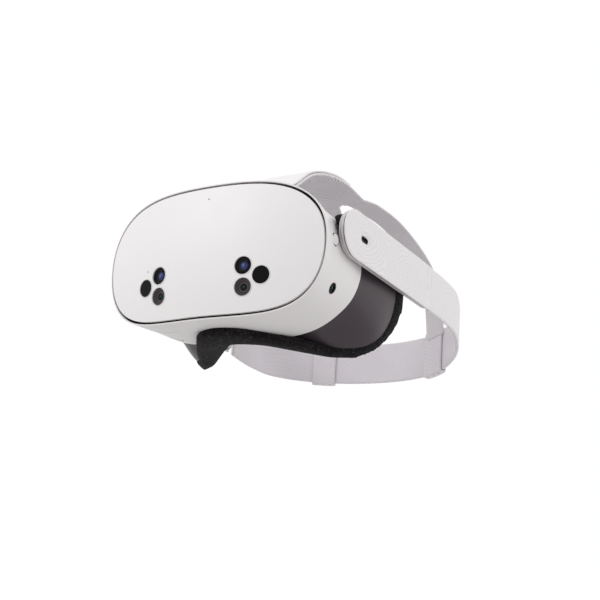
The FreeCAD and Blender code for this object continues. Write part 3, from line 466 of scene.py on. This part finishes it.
BALL_Y, BALL_Z = 244.9, 7.6            # centre of the ball that the fascia is part of
BLACK = rgb(5, 5, 6)
for name, side in SIDES:
    for kind, x, z, stops in (
            ("passthrough_camera", 36.5, -15.2,
             [(0.0, rgb(96, 104, 150)), (0.10, rgb(84, 96, 150)), (0.2, rgb(44, 56, 100)),
              (0.33, rgb(66, 76, 122)), (0.43, rgb(22, 26, 46)), (0.5, rgb(36, 38, 44)),
              (0.60, rgb(9, 9, 11)), (0.8, BLACK)]),
            # the teal centre of the black tracking lens is a painted highlight
            ("tracking_camera", 36.5, -30.5,
             [(0.0, rgb(40, 86, 88)), (0.12, rgb(18, 44, 48)), (0.24, rgb(10, 12, 14)),
              (0.36, rgb(26, 24, 26)), (0.42, rgb(96, 88, 90)), (0.58, rgb(56, 51, 53)),
              (0.76, rgb(84, 77, 79)), (0.8, rgb(70, 64, 66)), (1.0, rgb(46, 42, 44))]),
            ("infrared_window", 50.0, -22.5,
             [(0.0, BLACK), (0.6, rgb(7, 6, 7)), (0.85, BLACK), (1.0, rgb(12, 12, 13))])):
        depth = math.sqrt(0.245 ** 2 - (x * MM) ** 2 - ((z - BALL_Z) * MM) ** 2)
        centre = P(side * x, BALL_Y, z) - Vector((0, depth, 0))
        axis = (P(0, BALL_Y, BALL_Z) - centre).normalized()
        paint(optic(kind + "_glass_" + name, centre, axis, stops), "%s_%s" % (kind, name))
    axis = Vector((side * 0.913, 0.05, -0.40)).normalized()
    paint(optic("side_lens_" + name, P(side * 85.2, 47.3, -23.5), axis,
                # the teal centre of the black side lens is a painted highlight
                [(0.0, rgb(60, 120, 124)), (0.12, rgb(16, 44, 48)), (0.3, rgb(8, 9, 10)),
                 (0.45, rgb(24, 24, 26)), (0.7, BLACK)]), "side_camera_" + name)

# ------------------------------------------------------- strap and arm covers
PLAN = [(0, 303.6), (30, 300.8), (57, 292.6), (76, 281.5), (88, 268.5), (94.6, 250.0),
        (95.6, 225.0), (95.6, 190.6)]
RAILS = {1: [(180, 2.0), (190, 2.2), (215, 1.6), (238, -0.5), (252, -4.5), (266, -10.5),
             (280, -17), (292, -22.5), (303.6, -25), (310, -25.5)],
         -1: [(180, -19.5), (190, -21.2), (215, -24.0), (238, -24.5), (252, -24.5),
              (266, -24.0), (280, -24.0), (292, -24.5), (303.6, -25), (310, -25.5)]}
WIDTH, THICK = 37.0, 3.0
STATIONS = 181
plan = spline([(x, y, 0) for x, y in reversed(PLAN)] + [(-x, y, 0) for x, y in PLAN[1:]],
              STATIONS)


def station(i):
    """Outer point of the strap, its outward direction and lower edge height."""
    point = plan[i]
    tangent = (plan[min(i + 1, STATIONS - 1)] - plan[max(i - 1, 0)]).normalized()
    outward = Vector((tangent.y, -tangent.x, 0))
    if outward.dot(point - Vector((0, 200, 0))) < 0:
        outward.negate()
    side = 1 if point.x > 0 else -1
    return point, outward, along(RAILS[side], point.y)


run = [0.0]
for a, b in zip(plan, plan[1:]):
    run.append(run[-1] + (b - a).length)


def band_section():
    """Rounded section of the strap: outward offset, height, whether it is the outer face."""
    half = THICK / 2
    outer = [(-0.05, z, 1) for z in (1.1, 2.4, 3.0)]
    outer += [(0.0, z, 1) for z in (8, 14, 20, 26, 32)]
    outer += [(-0.05, 34.0, 1), (-0.05, 34.6, 1), (-0.25, 35.9, 1)]
    top = [(-0.35, 36.5, 1), (-0.9, 36.9, 1), (-half, WIDTH, 1), (-2.2, 36.9, 0),
           (-2.7, 36.5, 0)]
    inner = [(-THICK, z, 0) for z in (35.9, 34.3, 28, 22, 16, 10, 2.7, 1.1)]
    low = [(-2.7, 0.5, 0), (-2.2, 0.1, 0), (-half, 0.0, 1), (-0.9, 0.1, 1), (-0.35, 0.5, 1)]
    return outer + top + inner + low


section = band_section()
verts, uvs = [], []
for i in range(STATIONS):
    point, outward, low = station(i)
    for n, z, _ in section:
        q = point + outward * n
        verts.append(P(q.x, q.y, low + z))
        uvs.append((run[i] * MM, (z - WIDTH / 2) * MM))
sides = [0 if is_outer else 1 for _, _, is_outer in section]
band = new_mesh("head_band", verts, quads(STATIONS, len(section)) + caps(STATIONS, len(section)),
                uvs, sides * (STATIONS - 1) + [sides[0]] * 2, [COVER, KNIT])
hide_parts("side_strap_left", "side_strap_right", "back_strap")
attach(band, "head_strap")


PIVOT_Y, PIVOT_Z = 59, 20.5
DROOP = {1: 0.0, -1: math.radians(-10)}
ARM_RADIUS, ARM_END, ARM_FACE = 18.5, 132.4, 96.1
OUTLINE = 120                          # points round an arm


def arm_point(side, out, ahead, up):
    """Point at a distance out from the middle, along the arm from its pivot, and up."""
    c, s = math.cos(DROOP[side]), math.sin(DROOP[side])
    return P(side * out, PIVOT_Y + ahead * c - up * s, PIVOT_Z + ahead * s + up * c)


def stadium(inset, end_inset):
    """Arm outline about its pivot, along the arm and up, evenly spaced."""
    r = ARM_RADIUS - inset
    end = ARM_END - end_inset
    corner = 1.2
    path = [(end, -r + corner), (end, r - corner)]
    path += [(end - corner * (1 - math.cos(a)), r - corner * (1 - math.sin(a)))
             for a in (math.radians(d) for d in (30, 60, 90))]
    path += [(t, r) for t in range(120, 0, -8)]
    path += [(-r * math.sin(a), r * math.cos(a)) for a in
             (math.radians(d) for d in range(0, 181, 6))]
    path += [(t, -r) for t in range(8, 121, 8)]
    path += [(end - corner * (1 - math.cos(a)), -r + corner * (1 - math.sin(a)))
             for a in (math.radians(d) for d in (90, 60, 30))]
    lengths = [0.0]
    closed = path + path[:1]
    for (x0, y0), (x1, y1) in zip(closed, closed[1:]):
        lengths.append(lengths[-1] + math.hypot(x1 - x0, y1 - y0))
    out, j = [], 0
    for i in range(OUTLINE):
        want = lengths[-1] * i / OUTLINE
        while lengths[j + 1] < want:
            j += 1
        t = (want - lengths[j]) / max(lengths[j + 1] - lengths[j], 1e-9)
        (x0, y0), (x1, y1) = closed[j], closed[j + 1]
        out.append((x0 + (x1 - x0) * t, y0 + (y1 - y0) * t))
    return out


def slot_outline(half_w, half_h, centre, targets):
    """Round-ended slot with a point in the direction of each target."""
    out = []
    flat = half_w - half_h
    for x, y in targets:
        a = math.atan2(y, x - centre)
        dx, dy = math.cos(a), math.sin(a)
        low, high = 0.0, half_w + half_h
        for _ in range(30):
            mid = (low + high) / 2
            px, py = abs(dx * mid), abs(dy * mid)
            inside = py <= half_h if px <= flat else math.hypot(px - flat, py) <= half_h
            low, high = (mid, high) if inside else (low, mid)
        out.append((centre + dx * low, dy * low))
    return out


def arm_cover(name, side):
    """Padded cloth face of the arm, with the charging port's opening on the left one."""
    rim = [(0.5, 0.5, -1.25), (0.0, 0.0, -1.0), (0.0, 0.0, -0.55), (0.12, 0.1, -0.25),
           (0.4, 0.3, -0.08), (0.9, 0.8, 0.0), (2.2, 2.0, 0.0)]
    loops = [[(x, y, d) for x, y in stadium(i, e)] for i, e, d in rim]
    outer = [(x, y) for x, y, _ in loops[-1]]
    centre = 13.0
    port = [(8.2, 5.4, 0.0), (7.9, 5.1, -0.1), (7.2, 4.4, -0.42), (5.7, 2.9, -0.46),
            (5.3, 2.45, -0.6), (5.2, 2.35, -1.25)]
    hole = slot_outline(port[0][0], port[0][1], centre, outer)
    for k in range(1, 6):
        t = k / 6
        loops.append([(x0 + (x1 - x0) * t, y0 + (y1 - y0) * t, 0.0)
                      for (x0, y0), (x1, y1) in zip(outer, hole)])
    if side == 1:
        for half_w, half_h, d in port:
            loops.append([(x, y, d) for x, y in slot_outline(half_w, half_h, centre, outer)])
    else:
        loops.append([(x, y, 0.0) for x, y in hole])
    verts, uvs = [], []
    for loop in loops:
        for x, y, d in loop:
            drop = 0.42 * min(max((x - 112) / 18, 0), 1) ** 2
            verts.append(arm_point(side, ARM_FACE + d - drop, x, y))
            uvs.append(((x - 131.6) * MM, y * MM))
    n = OUTLINE
    faces = quads(len(loops), n)
    last = (len(loops) - 1) * n
    if side == 1:
        faces += [(last + j, last + (j + 1) % n, (j + 1) % n, j) for j in range(n)]
    else:
        faces += [tuple(last + j for j in range(n)), tuple(reversed(range(n)))]
    obj = new_mesh(name, verts, faces, uvs, None, [COVER])
    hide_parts("arm_cover_left" if side == 1 else "arm_cover_right")
    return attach(obj, "head_strap")


def arm_seam(name, side, inset, x_low, x_high):
    """Dark shadow line between two layers of an arm."""
    verts, n = [], OUTLINE
    for grow, x in ((0.3, x_low), (0.0, x_low), (0.0, x_high), (0.3, x_high)):
        verts += [arm_point(side, x, t, h) for t, h in stadium(inset + grow, 2.4 + inset + grow)]
    faces = quads(4, n)
    faces += [(3 * n + j, 3 * n + (j + 1) % n, (j + 1) % n, j) for j in range(n)]
    obj = new_mesh(name, verts, faces, None, None, [SEAL_AND_GAP_SHADE])
    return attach(obj, "head_strap")


for name, side in SIDES:
    arm_seam("arm_seam_inner_" + name, side, 0.98, 91.75, 92.2)
    arm_seam("arm_seam_outer_" + name, side, 0.4, 94.35, 94.75)
arm_cover("left_arm_cover", 1)
arm_cover("right_arm_cover", -1)


LOOP_X = 57                            # middle of a loop, across the head


def strap_loop(name, side):
    """Sewn sleeve round the head strap at the end of a branch of the top strap."""
    span = sorted((plan[i].x * side, i) for i in range(STATIONS)
                  if abs(plan[i].x * side - LOOP_X) < 12.5)
    xs = [47.0, 47.15, 47.6, 48.4, 52, 57, 62, 65.6, 66.4, 66.85, 67.0]
    shrink = [0.75, 0.3, 0.08, 0, 0, 0, 0, 0, 0.08, 0.3, 0.75]
    rings, uvs = [], []
    for x, s in zip(xs, shrink):
        for (a, i0), (b, i1) in zip(span, span[1:]):
            if a <= x <= b:
                break
        t = (x - a) / (b - a)
        p0, n0, l0 = station(i0)
        p1, n1, l1 = station(i1)
        point, outward, low = p0.lerp(p1, t), n0.lerp(n1, t).normalized(), l0 + (l1 - l0) * t
        ring = []
        for n_min, n_max, z_min, z_max, r in (
                (-5.1 + s, 2.1 - s, -2.1 + s, 39.1 - s, 1.9), (-3.5, 0.5, -0.5, 37.5, 0.35)):
            corners = [(n_max - r, z_min + r, -90), (n_max - r, z_max - r, 0),
                       (n_min + r, z_max - r, 90), (n_min + r, z_min + r, 180)]
            for cn, cz, start in corners:
                for k in range(5):
                    a = math.radians(start + 22.5 * k)
                    ring.append((cn + r * math.cos(a), cz + r * math.sin(a)))
        points = []
        for n, z in ring:
            q = point + outward * n
            points.append(P(q.x, q.y, low + z))
            uvs.append(((x + n) * MM, z * MM))
        rings.append(points)
    verts = [v for ring in rings for v in ring]
    half, whole = 20, 40               # points round the inner wall, and round both
    faces = []
    for i in range(len(rings) - 1):
        for part in (0, half):
            for j in range(half):
                a, b = i * whole + part + j, i * whole + part + (j + 1) % half
                faces.append((a, b, b + whole, a + whole))
    for base in (0, (len(rings) - 1) * whole):
        for j in range(half):
            k = (j + 1) % half
            faces.append((base + j, base + k, base + half + k, base + half + j))
    obj = new_mesh(name, verts, faces, uvs, None, [KNIT])
    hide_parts("strap_loop_left" if side == 1 else "strap_loop_right")
    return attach(obj, "head_strap")


strap_loop("left_loop", 1)
strap_loop("right_loop", -1)

# --------------------------------------------------------------- top straps
TOP_PATH = [(49, 52.75), (60, 52.75), (68, 58.5), (79, 70.5), (93, 84), (112, 100), (128, 108),
            (145, 113.4), (162, 116.4), (180, 117.0), (204, 114.8)]
BRANCH = [((9, 220, 112.0), (32, 217, 111.8)), ((20, 238, 105.2), (43, 231, 102.4)),
          ((30, 254, 93.0), (52.5, 247, 88.6)), ((38, 268, 77.0), (60, 262, 73.0)),
          ((43.5, 279.5, 59.5), (64.5, 272.5, 57.0)), ((46.5, 286.6, 42.5), (66.6, 278.4, 42.0)),
          ((47.2, 291.0, 20.0), (66.8, 281.8, 23.4)), ((47.2, 292.2, 8.0), (66.7, 283.6, 11.0))]
inner_edge = [(0, y, z) for y, z in TOP_PATH] + [(3.4, 206.6, 114.4), (6.2, 211.8, 113.7)] \
    + [a for a, _ in BRANCH]
outer_edge = [(22, y, z) for y, z in TOP_PATH] + [(24.2, 206.6, 114.4), (27.6, 210.6, 113.6)] \
    + [b for _, b in BRANCH]


SEAM = 0.05                            # edge points nearer the middle are on the mirror


def dense_pairs(first, second, per=5):
    """Both edges, smoothed together so that their points stay opposite."""
    joined = [Vector(a).to_tuple() + Vector(b).to_tuple() for a, b in zip(first, second)]
    out = []
    for i in range(len(joined) - 1):
        near = [joined[max(i - 1, 0)], joined[i], joined[i + 1],
                joined[min(i + 2, len(joined) - 1)]]
        for k in range(per):
            t = k / per
            w = (-0.5 * t ** 3 + t ** 2 - 0.5 * t, 1.5 * t ** 3 - 2.5 * t ** 2 + 1,
                 -1.5 * t ** 3 + 2 * t ** 2 + 0.5 * t, 0.5 * t ** 3 - 0.5 * t ** 2)
            v = [sum(w[q] * near[q][c] for q in range(4)) for c in range(6)]
            out.append((Vector(v[:3]), Vector(v[3:])))
    out.append((Vector(joined[-1][:3]), Vector(joined[-1][3:])))
    return out


def thicken(name, pairs, thick, materials, mirror, uv_across):
    """Ribbon of even thickness between two edges, its rims rounded; mirror makes the
    first edge the seam of a ribbon that is the same on both sides, and forks."""
    half = thick / 2
    verts, uvs = [], []
    travel = 0.0
    for i, (a, b) in enumerate(pairs):
        before, after = pairs[max(i - 1, 0)], pairs[min(i + 1, len(pairs) - 1)]
        tangent = ((after[0] + after[1]) - (before[0] + before[1])).normalized()
        across = b - a
        normal = across.cross(tangent).normalized()
        if i:
            travel += ((a + b) / 2 - (pairs[i - 1][0] + pairs[i - 1][1]) / 2).length
        w = across.length
        unit = across / w
        edge = min(half, 1.0)
        first = 0 if mirror else edge
        shares = (0.12, 0.3, 0.5, 0.7, 0.88)
        shape = [(first, half)] + [(share * w, half) for share in shares]
        shape += [(w - 2.2, half), (w - 1.7, half - 0.12), (w - edge, half - 0.02),
                  (w - 0.3, half * 0.7), (w, 0), (w - 0.3, -half * 0.7), (w - edge, -half)]
        shape += [(share * w, -half) for share in reversed(shares)] + [(first, -half)]
        if mirror and a.x > SEAM:
            k = min(a.x / 2.0, 1.0)
            shape[0] = (edge * k, half)
            shape[-1] = (edge * k, -half)
            shape += [(0.3 * (1 - k), -half * 0.7), (0, 0), (0.3 * (1 - k), half * 0.7)]
        elif mirror:
            shape += [(0, -half * 0.7), (0, 0), (0, half * 0.7)]
        else:
            shape += [(0.3, -half * 0.7), (0, 0), (0.3, half * 0.7)]
        for s, n in shape:
            q = a + unit * s + normal * n
            if mirror and a.x <= SEAM and s == 0:
                q.x = 0
            verts.append(P(*q))
            uvs.append(((uv_across + a.x + s) * MM, travel * MM))
    n = len(shape)
    faces, marks = [], []
    for i in range(len(pairs) - 1):
        on_seam = mirror and pairs[i][0].x <= SEAM and pairs[i + 1][0].x <= SEAM
        for j in range(n):
            if on_seam and j >= n - 4:
                continue
            k = (j + 1) % n
            faces.append((i * n + j, i * n + k, (i + 1) * n + k, (i + 1) * n + j))
            marks.append(0 if j < 10 else 1)
    obj = new_mesh(name, verts, faces + caps(len(pairs), n), uvs, marks + [1, 1], materials)
    if mirror:
        modifier = obj.modifiers.new("mirror", "MIRROR")
        modifier.use_axis[0] = True
        modifier.use_clip = True
        modifier.merge_threshold = 0.00002
        bake(obj)
        tidy(obj.data, 0.000005)
    return obj


# both pieces bend between the bar on the housing and the part that follows the arms
fork = thicken("top_fork", dense_pairs(inner_edge, outer_edge), 2.4, [SMOOTH, RIBBED], True, 0)
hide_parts("top_strap", "strap_branch_left", "strap_branch_right")
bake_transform(fork)

# the free end goes forward over the fork, round the bar and under to its start
crown = []
for i in range(9, 3, -1):
    (y0, z0), (y, z), (y1, z1) = TOP_PATH[i - 1], TOP_PATH[i], TOP_PATH[min(i + 1, 10)]
    run_y, run_z = y1 - y0, z1 - z0
    size = math.hypot(run_y, run_z)
    crown.append((y - run_z / size * 2.5, z + run_y / size * 2.5))
line = crown + [(78, 76.0), (66, 66.0), (58, 61.8), (50, 60.2)]
line += [(49.4 - 3.72 * math.sin(math.radians(a)), 56.47 + 3.72 * math.cos(math.radians(a)))
         for a in (30, 60, 90, 120, 150)] + [(49.1, 52.75), (52, 52.72)]
TONGUE_HALF = 21.6
halves = [21.0] + [TONGUE_HALF] * (len(line) - 1)
left_edge = [(-half, y, z) for half, (y, z) in zip(halves, line)]
right_edge = [(half, y, z) for half, (y, z) in zip(halves, line)]
tongue = thicken("top_tongue", dense_pairs(left_edge, right_edge, 6), 1.8, [SMOOTH, SMOOTH],
                 False, TONGUE_HALF)
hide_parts("top_strap_tongue")
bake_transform(tongue)

# --------------------------------------------------------------- face foam
SWELL = 0.9 * MM                       # before the cloth run
SWELL_LIMIT = 1.0 * MM                 # during it
SIM_FRAMES = 20


def face_pad():
    """Foam of the face cushion, swollen by a short cloth run inside its cover."""
    source = NODES["face_foam"]
    mesh = source.data.copy()
    mesh.materials.clear()
    obj = bpy.data.objects.new("face_pad", mesh)
    bpy.context.scene.collection.objects.link(obj)
    fuse = obj.modifiers.new("remesh", "REMESH")
    fuse.mode = "VOXEL"
    fuse.voxel_size = 2 * MM
    bake(obj)
    relax = obj.modifiers.new("smooth", "SMOOTH")
    relax.iterations = 2
    relax.factor = 0.5
    bake(obj)
    for vertex, normal in [(v, v.normal.copy()) for v in obj.data.vertices]:
        vertex.co += normal * SWELL
    start = [v.co.copy() for v in obj.data.vertices]
    scene = bpy.context.scene
    sim = obj.modifiers.new("cloth", "CLOTH")
    sim.settings.use_pressure = True
    sim.settings.uniform_pressure_force = 4
    sim.settings.effector_weights.gravity = 0
    sim.settings.quality = 6
    sim.settings.tension_stiffness = 20
    sim.settings.compression_stiffness = 20
    sim.point_cache.frame_start, sim.point_cache.frame_end = 1, SIM_FRAMES
    for f in range(1, SIM_FRAMES + 1):
        scene.frame_set(f)
        bpy.context.view_layer.update()
    bake(obj)
    scene.frame_set(1)
    for vertex, rest in zip(obj.data.vertices, start):
        move = vertex.co - rest
        if move.length > SWELL_LIMIT:
            vertex.co = rest + move.normalized() * SWELL_LIMIT
    soften = obj.modifiers.new("smooth", "SMOOTH")
    soften.iterations = 3
    soften.factor = 0.5
    divide = obj.modifiers.new("divide", "SUBSURF")
    divide.levels = 1
    bake(obj)
    for poly in obj.data.polygons:
        poly.use_smooth = True
    obj.data.materials.append(FOAM)
    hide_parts("face_foam")
    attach(obj, "face_cushion")


face_pad()

# ---------------------------------------------------------- floor and light
FLOOR_Z = -0.62                        # far down, because the camera looks up
floor = new_mesh("floor", [(x, y, FLOOR_Z) for x, y in ((-5, -5), (5, -5), (5, 5), (-5, 5))],
                 [(0, 1, 2, 3)])
net = Net("floor_paper")
tone = net.noise(3.0, 3.0)
floor.data.materials.append(net.finish(net.ramp(tone, [(0.3, rgb(206, 205, 205)),
                                                       (0.7, rgb(210, 209, 209))]),
                                       net.ramp(tone, [(0.3, 0.85), (0.7, 0.92)]),
                                       net.bump(net.noise(200.0), 0.0002, 0.3)))
floor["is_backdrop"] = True

world = bpy.data.worlds.new("studio")
bpy.context.scene.world = world
world.use_nodes = True
sky = world.node_tree
where = sky.nodes.new("ShaderNodeTexCoord").outputs["Generated"]
parts = sky.nodes.new("ShaderNodeSeparateXYZ")
grade = sky.nodes.new("ShaderNodeMapRange")
grade.inputs["From Min"].default_value, grade.inputs["From Max"].default_value = -1.0, 0.45
grade.inputs["To Min"].default_value, grade.inputs["To Max"].default_value = 0.66, 1.02
sky.links.new(where, parts.inputs[0])
sky.links.new(parts.outputs["Y"], grade.inputs["Value"])
sky.links.new(grade.outputs["Result"], sky.nodes["Background"].inputs["Strength"])
sky.nodes["Background"].inputs["Color"].default_value = (1, 0.995, 0.998, 1)
bpy.context.scene.view_settings.view_transform = "Standard"


def softbox(name, place, aim, size, power):
    light = bpy.data.lights.new(name, "AREA")
    light.shape = "RECTANGLE"
    light.size, light.size_y = size
    light.energy = power
    obj = bpy.data.objects.new(name, light)
    bpy.context.scene.collection.objects.link(obj)
    obj.location = place
    obj.rotation_euler = (Vector(aim) - Vector(place)).to_track_quat("-Z", "Y").to_euler()


softbox("key", (-0.9, -1.7, 1.1), (0, -0.1, 0.06), (1.2, 1.0), 15.0)
softbox("side", (1.6, 0.5, 0.9), (0, 0.05, 0.06), (1.0, 0.8), 4.0)

camera = bpy.data.objects.new("camera", bpy.data.cameras.new("camera"))
bpy.context.scene.collection.objects.link(camera)
camera.data.lens = 70.686
camera.data.sensor_width = 36.0
camera.matrix_world = Matrix(((0.863989, 0.093052, 0.494838, 0.477461),
                              (0.498602, -0.295000, -0.815089, -0.793809),
                              (0.070132, 0.950956, -0.301272, -0.227795),
                              (0, 0, 0, 1)))
bpy.context.scene.camera = camera

low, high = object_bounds()
